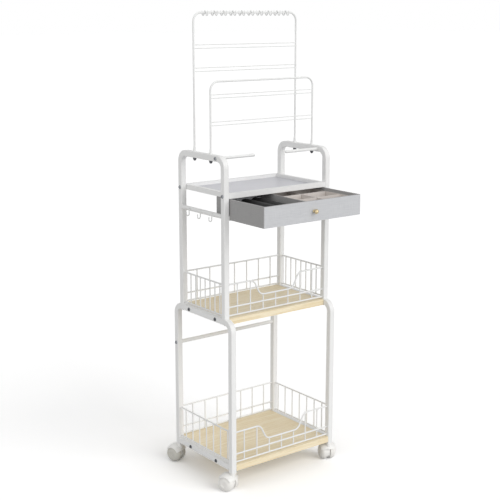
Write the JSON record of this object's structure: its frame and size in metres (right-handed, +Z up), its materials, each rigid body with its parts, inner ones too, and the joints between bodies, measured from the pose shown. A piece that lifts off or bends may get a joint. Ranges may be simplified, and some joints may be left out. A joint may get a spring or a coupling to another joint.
{
  "type": "rolling jewellery stand with drawer",
  "caption": "Rolling jewellery tower of bent square tube with wooden shelves, wire guards, a lined drawer, bracelet bars, sunglass hooks and wire racks.",
  "frame": {"origin": "on the floor, under the middle of the overall box at rest, with the drawer pulled out", "axes": "+Z up, -Y towards the front where the drawer opens, +X to the right seen from the front"},
  "size_m": [0.4536, 0.4782, 1.411],
  "materials": {
    "white_tube": "white powder coat on steel tube",
    "white_wire": "white powder coat on steel wire",
    "shelf_wood": "light wood grain, satin",
    "grey_panel": "painted board, satin grey",
    "linen": "board covered in grey linen cloth",
    "grey_velvet": "board lined with grey velvet",
    "black_foam": "black flocked foam",
    "brass": "polished",
    "black_steel": "black oxide",
    "zinc_steel": "zinc plated",
    "wheel_plastic": "warm light grey",
    "caster_plastic": "white moulded"
  },
  "bodies": {
    "tower": {"board_screws": "black_steel", "bottom_board": "shelf_wood", "bottom_guard": "white_wire", "bracelet_bar_left": "white_wire", "bracelet_bar_right": "white_wire", "bracelet_screws": "black_steel", "cross_tube_back": "white_tube", "cross_tube_screws": "black_steel", "drawer_runner_left": "white_tube", "drawer_runner_right": "white_tube", "frame_joint_bolts": "zinc_steel", "leg_insert_back_left": "caster_plastic", "leg_insert_back_right": "caster_plastic", "leg_insert_front_left": "caster_plastic", "leg_insert_front_right": "caster_plastic", "low_rail_left": "white_tube", "low_rail_right": "white_tube", "lower_frame_left": "white_tube", "lower_frame_right": "white_tube", "middle_board": "shelf_wood", "middle_guard": "white_wire", "rack_collars": "white_wire", "rack_nuts": "black_steel", "shelf_frame": "white_tube", "shelf_panel": "grey_panel", "shelf_screws": "black_steel", "short_rack": "white_wire", "side_rail_left": "white_tube", "side_rail_right": "white_tube", "sunglass_hooks_left": "white_wire", "sunglass_hooks_right": "white_wire", "tall_rack": "white_wire", "tall_rack_hooks": "white_wire", "upper_frame_left": "white_tube", "upper_frame_right": "white_tube"},
    "drawer": {"drawer_box": "linen", "ring_foam": "black_foam", "compartment_tray": "grey_velvet", "drawer_knob": "brass"},
    "caster_front_left": {"caster_hood_front_left": "caster_plastic", "caster_stem_front_left": "zinc_steel"},
    "wheels_front_left": {"caster_axle_front_left": "zinc_steel", "caster_wheel_front_left_inner": "wheel_plastic", "caster_wheel_front_left_outer": "wheel_plastic"},
    "caster_front_right": {"caster_hood_front_right": "caster_plastic", "caster_stem_front_right": "zinc_steel"},
    "wheels_front_right": {"caster_axle_front_right": "zinc_steel", "caster_wheel_front_right_inner": "wheel_plastic", "caster_wheel_front_right_outer": "wheel_plastic"},
    "caster_back_left": {"caster_hood_back_left": "caster_plastic", "caster_stem_back_left": "zinc_steel"},
    "wheels_back_left": {"caster_axle_back_left": "zinc_steel", "caster_wheel_back_left_inner": "wheel_plastic", "caster_wheel_back_left_outer": "wheel_plastic"},
    "caster_back_right": {"caster_hood_back_right": "caster_plastic", "caster_stem_back_right": "zinc_steel"},
    "wheels_back_right": {"caster_axle_back_right": "zinc_steel", "caster_wheel_back_right_inner": "wheel_plastic", "caster_wheel_back_right_outer": "wheel_plastic"}
  },
  "joints": [
    {"name": "drawer_slide", "type": "slide", "parent": "tower", "child": "drawer", "axis": [0, -1, 0], "range_m": [-0.159, 0.02]},
    {"name": "swivel_front_left", "type": "hinge", "parent": "tower", "child": "caster_front_left", "pos_m": [-0.191, -0.08658, 0.05], "axis": [0, 0, 1], "continuous": true},
    {"name": "roll_front_left", "type": "hinge", "parent": "caster_front_left", "child": "wheels_front_left", "pos_m": [-0.19699, -0.07174, 0.025], "axis": [0.9272, 0.3746, 0], "continuous": true},
    {"name": "swivel_front_right", "type": "hinge", "parent": "tower", "child": "caster_front_right", "pos_m": [0.191, -0.08658, 0.05], "axis": [0, 0, 1], "continuous": true},
    {"name": "roll_front_right", "type": "hinge", "parent": "caster_front_right", "child": "wheels_front_right", "pos_m": [0.19699, -0.07174, 0.025], "axis": [0.9272, -0.3746, 0], "continuous": true},
    {"name": "swivel_back_left", "type": "hinge", "parent": "tower", "child": "caster_back_left", "pos_m": [-0.191, 0.19542, 0.05], "axis": [0, 0, 1], "continuous": true},
    {"name": "roll_back_left", "type": "hinge", "parent": "caster_back_left", "child": "wheels_back_left", "pos_m": [-0.19647, 0.21046, 0.025], "axis": [0.9397, 0.342, 0], "continuous": true},
    {"name": "swivel_back_right", "type": "hinge", "parent": "tower", "child": "caster_back_right", "pos_m": [0.191, 0.19542, 0.05], "axis": [0, 0, 1], "continuous": true},
    {"name": "roll_back_right", "type": "hinge", "parent": "caster_back_right", "child": "wheels_back_right", "pos_m": [0.19647, 0.21046, 0.025], "axis": [0.9397, -0.342, 0], "continuous": true}
  ]
}
